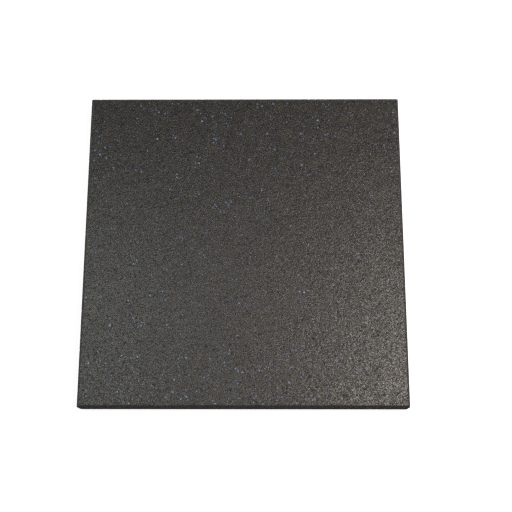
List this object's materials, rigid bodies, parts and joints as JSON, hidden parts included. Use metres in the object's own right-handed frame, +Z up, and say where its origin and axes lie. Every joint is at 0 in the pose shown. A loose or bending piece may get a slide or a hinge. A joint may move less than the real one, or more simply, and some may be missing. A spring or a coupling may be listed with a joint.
{
  "type": "rubber floor mat",
  "caption": "Square black crumb-rubber floor tile with sparse blue flecks, bevelled top rim, rounded upright corners and a flat underside.",
  "frame": {"origin": "centre of the flat underside", "axes": "+Z up, out of the walked-on face; X and Y along the tile's sides, with -Y the side nearest the camera in the picture"},
  "size_m": [0.5, 0.5, 0.03],
  "materials": {
    "crumb_rubber": "matte"
  },
  "bodies": {
    "root": {"rubber_tile": "crumb_rubber"}
  },
  "joints": []
}
